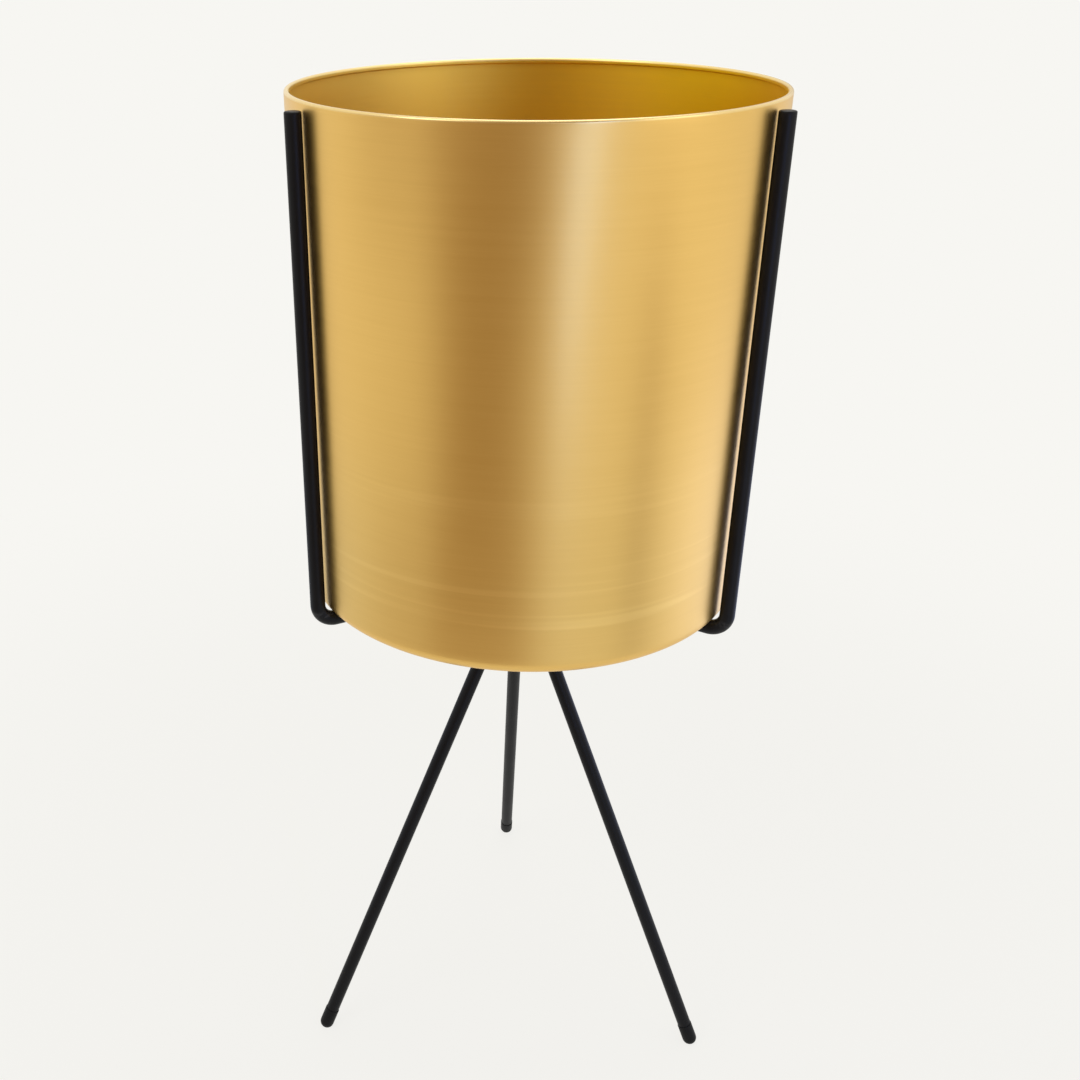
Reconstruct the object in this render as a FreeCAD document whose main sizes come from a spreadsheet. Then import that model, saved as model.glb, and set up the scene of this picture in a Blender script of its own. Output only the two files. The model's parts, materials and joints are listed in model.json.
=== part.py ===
import FreeCAD, Part
import math
import os
from enum import IntEnum

import Sketcher

# A round metal pot that stands in a cradle of three bent rods.
# +Z is up, the floor is at zero, and the pot's axis is the Z axis.
# Each rod lies in an upright plane through that axis; the front of the planter faces -Y.

# Driving sizes in millimetres.
SIZES = {
    # Pot: outside radii, height from underside to lip, and the sheet it is drawn from
    "rim_radius": 120.0,
    "base_radius": 119.0,
    "pot_height": 260.0,
    "sheet": 1.2,
    "bottom_bend": 7.0,
    # Edge of the sheet folded inwards at the rim, with a narrow flat left between its rounded corners
    "hem_thickness": 2.4,
    "hem_depth": 2.6,
    "lip_flat": 0.2,
    # Stand: level of the rods' upper side under the pot, bends measured on the centre line
    "rod_diameter": 8.0,
    "seat_level": 299.7,
    "curl_radius": 10.0,
    "elbow_radius": 9.0,
    "foot_circle_radius": 132.0,
    "arm_drop": 4.0,
    "end_round": 0.8,
    # Clearances between the pot and the stand
    "seat_gap": 0.3,
    "arm_gap_top": 0.5,
    "arm_gap_low": 1.2,
    # Weld in the middle: space between two elbows, and how far the weld metal spreads
    "weld_gap": 0.5,
    "weld_radius": 8.0,
    # Dipped tips on the legs: clearance on the rod, wall, length, and depth of the flat on the floor
    "tip_fit": 0.05,
    "tip_wall": 0.25,
    "tip_length": 10.0,
    "tip_wear": 1.0,
}

# Where each rod stands, in degrees from +X.
ROD_ANGLES = {"right": -30.0, "left": 210.0, "back": 90.0}

# Places that several pieces share, written with the driving sizes.
POT_FLOOR = "(sizes.seat_level + sizes.seat_gap)"
POT_TOP = f"({POT_FLOOR} + sizes.pot_height)"
POT_BORE = "(sizes.rim_radius - sizes.hem_thickness)"
ROD_RADIUS = "(sizes.rod_diameter / 2)"
RUN_LEVEL = f"(sizes.seat_level - {ROD_RADIUS})"
ARM_TOP = (f"(sizes.rim_radius + sizes.arm_gap_top + {ROD_RADIUS})", f"({POT_TOP} - sizes.arm_drop)")
CURL_CENTRE = (
    f"(sizes.base_radius + sizes.arm_gap_low + {ROD_RADIUS} - sizes.curl_radius)",
    f"({RUN_LEVEL} + sizes.curl_radius)",
)
# The three elbows stand round the axis with the weld's gap from each to the next.
ELBOW_CENTRE = (
    "((sizes.rod_diameter + sizes.weld_gap) / sqrt(3) + sizes.elbow_radius)",
    f"({RUN_LEVEL} - sizes.elbow_radius)",
)
TIP_BORE = f"({ROD_RADIUS} + sizes.tip_fit)"
TIP_RADIUS = f"({TIP_BORE} + sizes.tip_wall)"
LEG_END = ("sizes.foot_circle_radius", f"({TIP_RADIUS} - sizes.tip_wear)")

FULL_TURN = 360
UPRIGHT = FreeCAD.Vector(0, 0, 1)

# The points of a line or an arc, numbered from 1 as a sketch's constraints do, and the sketch's own origin.
Point = IntEnum("Point", "START END CENTRE")
ORIGIN = (-1, Point.START)

doc = FreeCAD.newDocument("planter_with_stand")
sheet = doc.addObject("Spreadsheet::Sheet", "sizes")
for row, (name, value) in enumerate(SIZES.items(), start=1):
    sheet.set(f"A{row}", name)
    sheet.set(f"B{row}", str(value))
    sheet.setAlias(f"B{row}", name)
doc.recompute()


def number(expression):
    """The present value of an expression on the driving sizes."""
    return float(sheet.evalExpression(expression.replace("sizes.", "")))


def spot(place):
    """A point of a sketch from its pair of expressions."""
    across, up = place
    return FreeCAD.Vector(number(across), number(up), 0)


def new_body(label):
    body = doc.addObject("PartDesign::Body", label)
    body.Label = label
    return body


def new_sketch(body, name, plane):
    sketch = body.newObject("Sketcher::SketchObject", f"{body.Name}_{name}")
    support = next(item for item in body.Origin.OriginFeatures if item.Role == plane)
    sketch.AttachmentSupport = [(support, "")]
    sketch.MapMode = "FlatFace"
    return sketch


def bind(sketch, name, constraint, expression):
    """Add a constraint whose value follows an expression."""
    index = sketch.addConstraint(constraint)
    sketch.renameConstraint(index, name)
    sketch.setExpression(f"Constraints.{name}", expression)


def pin_point(sketch, name, geometry, position, place):
    """Hold a point of a sketch at a pair of expressions."""
    across, up = place
    at = spot(place)
    if across == "0":
        sketch.addConstraint(Sketcher.Constraint("Vertical", *ORIGIN, geometry, position))
    else:
        reach = Sketcher.Constraint("DistanceX", *ORIGIN, geometry, position, at.x)
        bind(sketch, f"{name}_reach", reach, across)
    if up == "0":
        sketch.addConstraint(Sketcher.Constraint("Horizontal", *ORIGIN, geometry, position))
    else:
        level = Sketcher.Constraint("DistanceY", *ORIGIN, geometry, position, at.y)
        bind(sketch, f"{name}_level", level, up)


def draw_outline(sketch, corners):
    """A closed outline of straight sides through named corners."""
    places = list(corners.values())
    count = len(places)
    for index in range(count):
        side = Part.LineSegment(spot(places[index]), spot(places[(index + 1) % count]))
        sketch.addGeometry(side, False)
    for index in range(count):
        following = (index + 1) % count
        sketch.addConstraint(Sketcher.Constraint("Coincident", index, Point.END, following, Point.START))
    for index, (name, place) in enumerate(corners.items()):
        pin_point(sketch, name, index, Point.START, place)


def spin(body, kind, name, sketch):
    """Turn a sketch round the body's Z axis, to add material or to cut it away."""
    feature = body.newObject(kind, f"{body.Name}_{name}")
    feature.Profile = sketch
    feature.ReferenceAxis = (sketch, ["V_Axis"])
    feature.Angle = FULL_TURN
    doc.recompute()
    return feature


def ring_edges(shape, radius, level):
    """Names of the round edges of a shape that have this radius at this level."""
    near = 1e-4
    names = []
    for index, edge in enumerate(shape.Edges, start=1):
        if not isinstance(edge.Curve, Part.Circle):
            continue
        same_radius = abs(edge.Curve.Radius - radius) < near
        if same_radius and abs(edge.Curve.Center.z - level) < near:
            names.append(f"Edge{index}")
    return names


def round_over(body, name, edges, radius):
    """Round the named edges of a body's last feature."""
    last = body.Tip
    feature = body.newObject("PartDesign::Fillet", f"{body.Name}_{name}")
    feature.Base = (last, edges)
    feature.setExpression("Radius", radius)
    doc.recompute()


def stand_at(body, azimuth):
    """Turn a piece about the pot's axis."""
    turn = FreeCAD.Rotation(UPRIGHT, azimuth)
    body.Placement = FreeCAD.Placement(FreeCAD.Vector(0, 0, 0), turn)


def wall_radius(level):
    """Outside radius of the pot's wall at a height above its underside."""
    return f"(sizes.base_radius + (sizes.rim_radius - sizes.base_radius) * ({level}) / sizes.pot_height)"


def make_pot():
    body = new_body("pot_shell")
    outside = new_sketch(body, "outside", "XZ_Plane")
    draw_outline(outside, {
        "floor_middle": ("0", POT_FLOOR),
        "floor_edge": ("sizes.base_radius", POT_FLOOR),
        "rim": ("sizes.rim_radius", POT_TOP),
        "mouth_middle": ("0", POT_TOP),
    })
    spin(body, "PartDesign::Revolution", "blank", outside)

    # The hollow is narrower inside the hem, where the sheet is folded back on itself.
    hem_level = "(sizes.pot_height - sizes.hem_depth)"
    inside = new_sketch(body, "inside", "XZ_Plane")
    draw_outline(inside, {
        "floor_middle": ("0", f"({POT_FLOOR} + sizes.sheet)"),
        "floor_edge": (f"({wall_radius('sizes.sheet')} - sizes.sheet)", f"({POT_FLOOR} + sizes.sheet)"),
        "hem_back": (f"({wall_radius(hem_level)} - sizes.sheet)", f"({POT_FLOOR} + {hem_level})"),
        "hem_front": (POT_BORE, f"({POT_FLOOR} + {hem_level})"),
        "mouth_edge": (POT_BORE, POT_TOP),
        "mouth_middle": ("0", POT_TOP),
    })
    hollow = spin(body, "PartDesign::Groove", "hollow", inside)

    floor = number(POT_FLOOR)
    floor_edge = ring_edges(hollow.Shape, number("sizes.base_radius"), floor)
    round_over(body, "bottom_bend", floor_edge, "sizes.bottom_bend")
    inner_floor = number(f"{POT_FLOOR} + sizes.sheet")
    inner_edge = ring_edges(body.Shape, number(f"{wall_radius('sizes.sheet')} - sizes.sheet"), inner_floor)
    round_over(body, "inner_bend", inner_edge, "sizes.bottom_bend - sizes.sheet")
    top = number(POT_TOP)
    lip = ring_edges(body.Shape, number("sizes.rim_radius"), top)
    lip += ring_edges(body.Shape, number(POT_BORE), top)
    round_over(body, "lip", lip, "(sizes.hem_thickness - sizes.lip_flat) / 2")
    return body


def draw_rod_path(body):
    """Centre line of a rod: arm, curl, level run, elbow and leg."""
    path = new_sketch(body, "path", "XZ_Plane")
    curl_centre = spot(CURL_CENTRE)
    elbow_centre = spot(ELBOW_CENTRE)
    leg_end = spot(LEG_END)
    curl_radius = number("sizes.curl_radius")
    elbow_radius = number("sizes.elbow_radius")
    splay = math.atan2(leg_end.x, elbow_centre.y - leg_end.y)
    curl = Part.ArcOfCircle(Part.Circle(curl_centre, UPRIGHT, curl_radius), -math.pi / 2, 0)
    elbow = Part.ArcOfCircle(Part.Circle(elbow_centre, UPRIGHT, elbow_radius), math.pi / 2, math.pi + splay)
    arm_line = path.addGeometry(Part.LineSegment(spot(ARM_TOP), curl.EndPoint), False)
    curl_arc = path.addGeometry(curl, False)
    run_line = path.addGeometry(Part.LineSegment(curl.StartPoint, elbow.StartPoint), False)
    elbow_arc = path.addGeometry(elbow, False)
    leg_line = path.addGeometry(Part.LineSegment(elbow.EndPoint, leg_end), False)
    path.addConstraint(Sketcher.Constraint("Tangent", arm_line, Point.END, curl_arc, Point.END))
    path.addConstraint(Sketcher.Constraint("Tangent", curl_arc, Point.START, run_line, Point.START))
    path.addConstraint(Sketcher.Constraint("Tangent", run_line, Point.END, elbow_arc, Point.START))
    path.addConstraint(Sketcher.Constraint("Tangent", elbow_arc, Point.END, leg_line, Point.START))
    path.addConstraint(Sketcher.Constraint("Horizontal", run_line))
    bind(path, "curl_radius", Sketcher.Constraint("Radius", curl_arc, curl_radius), "sizes.curl_radius")
    bind(path, "elbow_radius", Sketcher.Constraint("Radius", elbow_arc, elbow_radius), "sizes.elbow_radius")
    pin_point(path, "arm_top", arm_line, Point.START, ARM_TOP)
    pin_point(path, "curl_centre", curl_arc, Point.CENTRE, CURL_CENTRE)
    elbow_reach = Sketcher.Constraint("DistanceX", *ORIGIN, elbow_arc, Point.CENTRE, elbow_centre.x)
    bind(path, "elbow_reach", elbow_reach, ELBOW_CENTRE[0])
    pin_point(path, "leg_end", leg_line, Point.END, LEG_END)
    doc.recompute()
    return path


def make_rod(side, azimuth):
    body = new_body(f"rod_{side}")
    path = draw_rod_path(body)
    section = body.newObject("Sketcher::SketchObject", f"{body.Name}_section")
    section.AttachmentSupport = [(path, "Edge1")]
    section.MapMode = "NormalToEdge"
    section.MapPathParameter = 0
    circle = Part.Circle(FreeCAD.Vector(0, 0, 0), UPRIGHT, number(ROD_RADIUS))
    section.addGeometry(circle, False)
    section.addConstraint(Sketcher.Constraint("Coincident", 0, Point.CENTRE, *ORIGIN))
    diameter = Sketcher.Constraint("Diameter", 0, number("sizes.rod_diameter"))
    bind(section, "rod_diameter", diameter, "sizes.rod_diameter")
    doc.recompute()
    bar = body.newObject("PartDesign::AdditivePipe", f"{body.Name}_bar")
    bar.Profile = section
    bar.Spine = (path, [f"Edge{index}" for index in range(1, len(path.Shape.Edges) + 1)])
    doc.recompute()
    arm_top = ring_edges(bar.Shape, number(ROD_RADIUS), number(ARM_TOP[1]))
    round_over(body, "arm_top", arm_top, "sizes.end_round")
    stand_at(body, azimuth)
    return body


def make_foot_tip(side, azimuth):
    """A dipped tip: a thin sleeve on the end of the leg, its round nose worn flat on the floor."""
    body = new_body(f"foot_tip_{side}")
    half = new_sketch(body, "half_section", "XZ_Plane")
    leg_end = spot(LEG_END)
    elbow_centre = spot(ELBOW_CENTRE)
    nose = number(TIP_RADIUS)
    bore = number(TIP_BORE)
    splay = math.atan2(leg_end.x, elbow_centre.y - leg_end.y)
    along = FreeCAD.Vector(-math.sin(splay), math.cos(splay), 0)
    outward = FreeCAD.Vector(math.cos(splay), math.sin(splay), 0)
    sleeve = along * number("sizes.tip_length")

    # The leg's centre line touches the elbow's bend, so a spoke of the bend meets it square.
    touch = elbow_centre - outward * number("sizes.elbow_radius")
    axis = half.addGeometry(Part.LineSegment(leg_end, touch), True)
    spoke = half.addGeometry(Part.LineSegment(elbow_centre, touch), True)
    pin_point(half, "leg_end", axis, Point.START, LEG_END)
    pin_point(half, "elbow_centre", spoke, Point.START, ELBOW_CENTRE)
    half.addConstraint(Sketcher.Constraint("Coincident", axis, Point.END, spoke, Point.END))
    half.addConstraint(Sketcher.Constraint("Perpendicular", axis, spoke))
    spoke_length = Sketcher.Constraint("Distance", spoke, number("sizes.elbow_radius"))
    bind(half, "elbow_radius", spoke_length, "sizes.elbow_radius")

    nose_arc = half.addGeometry(
        Part.ArcOfCircle(Part.Circle(leg_end, UPRIGHT, nose), splay - math.pi / 2, splay), False
    )
    side_line = half.addGeometry(
        Part.LineSegment(leg_end + outward * nose, leg_end + outward * nose + sleeve), False
    )
    mouth_line = half.addGeometry(
        Part.LineSegment(leg_end + outward * nose + sleeve, leg_end + outward * bore + sleeve), False
    )
    bore_line = half.addGeometry(
        Part.LineSegment(leg_end + outward * bore + sleeve, leg_end + outward * bore), False
    )
    seat_line = half.addGeometry(Part.LineSegment(leg_end + outward * bore, leg_end), False)
    middle_line = half.addGeometry(Part.LineSegment(leg_end, leg_end - along * nose), False)
    loop = [nose_arc, side_line, mouth_line, bore_line, seat_line, middle_line]
    for first, second in zip(loop, loop[1:] + loop[:1]):
        half.addConstraint(Sketcher.Constraint("Coincident", first, Point.END, second, Point.START))
    half.addConstraint(Sketcher.Constraint("Coincident", nose_arc, Point.CENTRE, axis, Point.START))
    half.addConstraint(Sketcher.Constraint("Coincident", seat_line, Point.END, axis, Point.START))
    half.addConstraint(Sketcher.Constraint("PointOnObject", nose_arc, Point.START, axis))
    half.addConstraint(Sketcher.Constraint("PointOnObject", nose_arc, Point.END, seat_line))
    half.addConstraint(Sketcher.Constraint("Perpendicular", seat_line, axis))
    half.addConstraint(Sketcher.Constraint("Parallel", side_line, axis))
    half.addConstraint(Sketcher.Constraint("Perpendicular", mouth_line, axis))
    half.addConstraint(Sketcher.Constraint("Parallel", bore_line, axis))
    bind(half, "nose_radius", Sketcher.Constraint("Radius", nose_arc, nose), TIP_RADIUS)
    bind(half, "bore_radius", Sketcher.Constraint("Distance", seat_line, bore), TIP_BORE)
    length = Sketcher.Constraint("Distance", side_line, number("sizes.tip_length"))
    bind(half, "tip_length", length, "sizes.tip_length")
    doc.recompute()
    whole = body.newObject("PartDesign::Revolution", f"{body.Name}_whole")
    whole.Profile = half
    whole.ReferenceAxis = (half, ["Axis0"])
    whole.Angle = FULL_TURN
    doc.recompute()

    below_floor = new_sketch(body, "below_floor", "XY_Plane")
    below_floor.addGeometry(Part.Circle(FreeCAD.Vector(leg_end.x, 0, 0), UPRIGHT, nose), False)
    pin_point(below_floor, "leg_end", 0, Point.CENTRE, (LEG_END[0], "0"))
    bind(below_floor, "nose_radius", Sketcher.Constraint("Radius", 0, nose), TIP_RADIUS)
    worn = body.newObject("PartDesign::Pocket", f"{body.Name}_worn")
    worn.Profile = below_floor
    worn.setExpression("Length", TIP_RADIUS)
    doc.recompute()
    stand_at(body, azimuth)
    return body


def make_weld(bars):
    """Weld metal that fills the corners between the three elbows."""
    ball = doc.addObject("Part::Sphere", "weld_ball")
    ball.setExpression("Radius", "sizes.weld_radius")
    stand_at(ball, (ROD_ANGLES["right"] + ROD_ANGLES["back"]) / 2)
    ball.setExpression("Placement.Base.z", ELBOW_CENTRE[1])
    together = doc.addObject("Part::MultiFuse", "bars_together")
    together.Shapes = bars
    weld = doc.addObject("Part::Cut", "hub_weld")
    weld.Label = "hub_weld"
    weld.Base = ball
    weld.Tool = together
    doc.recompute()
    return weld


pieces = [make_pot()]
rods = [make_rod(side, azimuth) for side, azimuth in ROD_ANGLES.items()]
pieces += rods
pieces += [make_foot_tip(side, azimuth) for side, azimuth in ROD_ANGLES.items()]
pieces.append(make_weld(rods))
doc.recompute()

for item in doc.Objects:
    if "Invalid" in item.State or "Error" in item.State:
        raise RuntimeError(f"{item.Label} did not build: {item.State}")
for piece in pieces:
    if piece.Shape.isNull() or not piece.Shape.isValid() or len(piece.Shape.Solids) != 1:
        raise RuntimeError(f"{piece.Label} is not one valid solid")

os.makedirs("parts", exist_ok=True)
for piece in pieces:
    piece.Shape.exportStep(f"parts/{piece.Label}.step")
    print(piece.Label, round(piece.Shape.Volume, 1), piece.Shape.BoundBox)
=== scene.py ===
import json
import math

import bpy
from mathutils import Matrix, Vector


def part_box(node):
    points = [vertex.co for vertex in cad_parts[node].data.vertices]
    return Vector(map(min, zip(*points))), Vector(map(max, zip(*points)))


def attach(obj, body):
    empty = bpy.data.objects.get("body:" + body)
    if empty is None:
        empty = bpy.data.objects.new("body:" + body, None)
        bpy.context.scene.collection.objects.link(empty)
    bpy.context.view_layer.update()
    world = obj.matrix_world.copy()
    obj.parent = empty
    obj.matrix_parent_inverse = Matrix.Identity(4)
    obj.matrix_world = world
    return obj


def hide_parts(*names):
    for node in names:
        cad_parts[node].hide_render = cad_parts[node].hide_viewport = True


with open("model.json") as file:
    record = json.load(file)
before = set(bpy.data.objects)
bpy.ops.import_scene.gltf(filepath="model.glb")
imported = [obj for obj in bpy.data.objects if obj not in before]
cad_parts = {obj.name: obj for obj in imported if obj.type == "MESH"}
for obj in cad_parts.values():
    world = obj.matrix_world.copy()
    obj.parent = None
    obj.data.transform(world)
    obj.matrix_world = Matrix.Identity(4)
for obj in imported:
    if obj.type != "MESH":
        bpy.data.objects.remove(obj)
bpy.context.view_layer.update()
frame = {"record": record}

bl_info = {
    "name": "Planter with rod stand",
    "version": (1, 0, 0),
    "blender": (4, 5, 0),
    "location": "View3D > Sidebar > Planter",
    "description": "Brushed brass pot in a cradle of black rods, with its finishes and a pale studio",
    "category": "Object",
}

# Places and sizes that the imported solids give, in metres
POT_LOW, POT_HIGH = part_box("pot_shell")
ROD_LOW, ROD_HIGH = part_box("rod_back")
TIP_LOW, TIP_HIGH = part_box("foot_tip_back")
FEET = {mount["name"]: Vector(mount["pos_m"]) for mount in frame["record"]["mounts"]}
SIDES = ("right", "left", "back")

FULL_TURN = 2 * math.pi
QUARTER_TURN = math.pi / 2
MERGE_GAP = 1e-6

# A profile is swept round a ring of this radius, so its points are measured from there.
RING_RADIUS = 0.05

# Steps in a rounded corner of each piece, and in the softened end of an arm
POT_BEND_STEPS = 8
ROD_BEND_STEPS = 16
TIP_BEND_STEPS = 10
ARM_END_STEPS = 6

# Nothing of a tip lies below this corner, so its nose is worn flat on the floor.
LOWEST = (-1.0, -1.0, 0.0)

# Weld: share of its box that the core fills, and a bead's ends and middle as shares outwards and upwards
WELD_CORE = 0.86
BEAD_START = (0.55, -0.95)
BEAD_MIDDLE = (1.05, 0.0)
BEAD_END = (0.45, 0.95)

# Brass: heights above the underside where the turning lines fade, and places across the pot, from left to
# right, where the painted light inside goes from pale to warm and where the painted shade inside is deepest
LINES_FADE = (0.03, 0.16)
INSIDE_TURN = (-0.09, 0.06)
PAINTED_SHADE_PLACE = 0.025
PAINTED_SHADE_FADE = (0.015, 0.08)

# Depth of the fine relief of each skin, and how much the black ones shine
BRASS_RELIEF = 0.00006
BLACK_RELIEF = 0.00005
BLACK_SHINE = 0.16

# Strength of the surroundings as light
AMBIENT = 0.55

# Floor: its share of glow near the stand, the distances over which this grows to all, and half its width
FLOOR_GLOW = 0.88
FLOOR_FADE = (0.25, 0.9)
FLOOR_REACH = 4.0

# Card that only the metal mirrors: its radius, sides, lower and upper edge, and the colours of its layers
CARD_RADIUS = 0.5
CARD_SIDES = 120
CARD_LEVELS = (0.002, 1.1)
CARD_BROWN = (0.37, 0.27, 0.17, 1.0)
CARD_COOL = (0.35, 0.60, 1.10, 1.0)
CARD_BRIGHT = (1.50, 1.68, 2.60, 1.0)

# Lights: what they look at, the size of the soft ones, and the size, lean and colour of the narrow one
LIGHT_AIM = (0.0, 0.0, 0.4)
SOFT_SIZE = (0.9, 0.9)
STRIP_SIZE = (0.08, 0.85)
STRIP_LEAN = math.radians(-20)
STRIP_COLOUR = (0.13, 0.28, 1.0)

# Camera as the photograph was taken: pitch down, yaw to the right of +Y and roll, in degrees
CAMERA_PITCH = 27.0844
CAMERA_YAW = -4.1663
CAMERA_ROLL = -0.688
SENSOR_WIDTH = 36.0


class Wire:
    """An output of a node. Arithmetic on it adds Math nodes to its tree."""

    def __init__(self, graph, socket):
        self.graph = graph
        self.socket = socket

    def output(self, name):
        """Another output of the same node."""
        return Wire(self.graph, self.graph.find(self.socket.node.outputs, name))

    def __add__(self, other):
        return self.graph.math("ADD", self, other)

    def __radd__(self, other):
        return self.graph.math("ADD", other, self)

    def __sub__(self, other):
        return self.graph.math("SUBTRACT", self, other)

    def __rsub__(self, other):
        return self.graph.math("SUBTRACT", other, self)

    def __mul__(self, other):
        return self.graph.math("MULTIPLY", self, other)

    def __rmul__(self, other):
        return self.graph.math("MULTIPLY", other, self)

    def __truediv__(self, other):
        return self.graph.math("DIVIDE", self, other)

    def __rtruediv__(self, other):
        return self.graph.math("DIVIDE", other, self)


class Graph:
    """A node tree, of a material, the world or a geometry modifier, built with one method."""

    def __init__(self, tree):
        self.tree = tree

    @staticmethod
    def find(sockets, key):
        """A socket by its place, its identifier or its name."""
        if isinstance(key, int):
            return sockets[key]
        for socket in sockets:
            if socket.identifier == key or (socket.enabled and socket.name == key):
                return socket
        raise KeyError(f"no socket {key!r} among {[socket.identifier for socket in sockets]}")

    def add(self, kind, settings=None, sockets=None, output=None):
        """Add a node: its settings first, then the values or links of its sockets."""
        node = self.tree.nodes.new(kind)
        for name, value in (settings or {}).items():
            if name == "items":
                while len(node.index_switch_items) < value:
                    node.index_switch_items.new()
            else:
                setattr(node, name, value)
        for key, value in (sockets or {}).items():
            self.feed(self.find(node.inputs, key), value)
        if not node.outputs:
            return None
        if output is None:
            return Wire(self, next(socket for socket in node.outputs if socket.enabled))
        return Wire(self, self.find(node.outputs, output))

    def feed(self, socket, value):
        """Link an output to a socket, or several to one that joins them, or set its own value."""
        if isinstance(value, Wire):
            self.tree.links.new(value.socket, socket)
        elif socket.is_multi_input:
            for wire in value:
                self.tree.links.new(wire.socket, socket)
        else:
            socket.default_value = value

    def math(self, operation, *values):
        return self.add("ShaderNodeMath", {"operation": operation}, dict(enumerate(values)))

    def vector(self, x=0.0, y=0.0, z=0.0):
        return self.add("ShaderNodeCombineXYZ", None, {"X": x, "Y": y, "Z": z})

    def ramp_between(self, value, low, high):
        """Smooth rise from 0 at low to 1 at high."""
        return self.add(
            "ShaderNodeMapRange",
            {"interpolation_type": "SMOOTHSTEP"},
            {"Value": value, "From Min": low, "From Max": high},
        )

    def noise(self, vector, scale, detail, roughness=0.5):
        """Noise between 0 and 1."""
        return self.add(
            "ShaderNodeTexNoise",
            {"noise_dimensions": "3D"},
            {"Vector": vector, "Scale": scale, "Detail": detail, "Roughness": roughness},
            "Fac",
        )

    def swing(self, vector, scale, detail, roughness=0.5):
        """Noise that swings about 0."""
        return self.noise(vector, scale, detail, roughness) - 0.5

    def mix_colour(self, factor, first, second):
        """The first colour where the factor is 0, the second where it is 1."""
        return self.add(
            "ShaderNodeMix",
            {"data_type": "RGBA"},
            {"Factor_Float": factor, "A_Color": first, "B_Color": second},
            "Result_Color",
        )


class MaterialGraph(Graph):
    """The node tree of a new material that ends in one shader."""

    def __init__(self, name):
        self.material = bpy.data.materials.new(name)
        self.material.use_nodes = True
        super().__init__(self.material.node_tree)
        self.tree.nodes.clear()

    def finish(self, shader):
        self.add("ShaderNodeOutputMaterial", None, {"Surface": shader})
        return self.material


class ShapeGraph(Graph):
    """A geometry tree with named inputs."""

    def __init__(self, name):
        super().__init__(bpy.data.node_groups.new(name, "GeometryNodeTree"))
        self.tree.interface.new_socket("Shape", in_out="OUTPUT", socket_type="NodeSocketGeometry")
        self.entry = self.tree.nodes.new("NodeGroupInput")

    def input(self, name, kind="NodeSocketFloat"):
        item = self.tree.interface.new_socket(name, in_out="INPUT", socket_type=kind)
        return Wire(self, self.find(self.entry.outputs, item.identifier))

    def finish(self, shape, material):
        """Close the tree with plain geometry in one material."""
        smooth = self.add("GeometryNodeSetShadeSmooth", None, {"Geometry": shape})
        plain = self.add("GeometryNodeRealizeInstances", None, {"Geometry": smooth})
        painted = self.add("GeometryNodeSetMaterial", None, {"Geometry": plain, "Material": material})
        self.add("NodeGroupOutput", None, {0: painted})
        return self.tree


def polyline(graph, corners):
    """A line of straight runs through corners, and the radius that is to round each corner."""
    index = graph.add("GeometryNodeInputIndex")
    place = {"Index": index}
    bend = {"Index": index}
    for number, (point, radius) in enumerate(corners):
        place[str(number)] = point
        bend[str(number)] = radius
    count = len(corners)
    points = graph.add("GeometryNodeIndexSwitch", {"data_type": "VECTOR", "items": count}, place)
    radii = graph.add("GeometryNodeIndexSwitch", {"data_type": "FLOAT", "items": count}, bend)
    chain = graph.add("GeometryNodeMeshLine", None, {"Count": count})
    chain = graph.add("GeometryNodeSetPosition", None, {"Geometry": chain, "Position": points})
    curve = graph.add("GeometryNodeMeshToCurve", None, {"Mesh": chain})
    return curve, radii


def rounded(graph, curve, radii, steps):
    """Round the corners of a line of straight runs."""
    return graph.add(
        "GeometryNodeFilletCurve",
        {"mode": "POLY"},
        {"Curve": curve, "Count": steps, "Radius": radii, "Limit Radius": True},
    )


def in_rows(graph, curve, spacing):
    """Divide the long runs of a curve evenly, so that no row is taller than the spacing."""
    index = graph.add("GeometryNodeInputIndex")
    here = graph.add("GeometryNodeInputPosition")
    following = graph.add(
        "GeometryNodeFieldAtIndex", {"data_type": "FLOAT_VECTOR"}, {"Index": index + 1, "Value": here}
    )
    run = graph.add("ShaderNodeVectorMath", {"operation": "DISTANCE"}, {0: here, 1: following}, "Value")
    cuts = graph.math("FLOOR", run / spacing)
    return graph.add("GeometryNodeSubdivideCurve", None, {"Curve": curve, "Cuts": cuts})


def turned(graph, profile, segments):
    """Turn a profile, drawn as distance from the axis and height downwards, round the Z axis."""
    length = graph.add("GeometryNodeSplineParameter", None, None, "Length")
    profile = graph.add(
        "GeometryNodeStoreNamedAttribute",
        {"data_type": "FLOAT", "domain": "POINT"},
        {"Geometry": profile, "Name": "along", "Value": length},
    )
    ring = graph.add(
        "GeometryNodeCurvePrimitiveCircle", None, {"Resolution": segments, "Radius": RING_RADIUS}
    )
    shell = graph.add("GeometryNodeCurveToMesh", None, {"Curve": ring, "Profile Curve": profile})
    return graph.add("GeometryNodeMergeByDistance", None, {"Geometry": shell, "Distance": MERGE_GAP})


def profile_point(graph, radius, height):
    """A point of a turned profile, given by its distance from the axis and its height."""
    return graph.vector(radius - RING_RADIUS, height * -1.0)


def about_axis(graph, shape, angle):
    """Turn a shape about the pot's axis."""
    here = graph.add("GeometryNodeInputPosition")
    there = graph.add(
        "ShaderNodeVectorRotate", {"rotation_type": "Z_AXIS"}, {"Vector": here, "Angle": angle}
    )
    return graph.add("GeometryNodeSetPosition", None, {"Geometry": shape, "Position": there})


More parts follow.
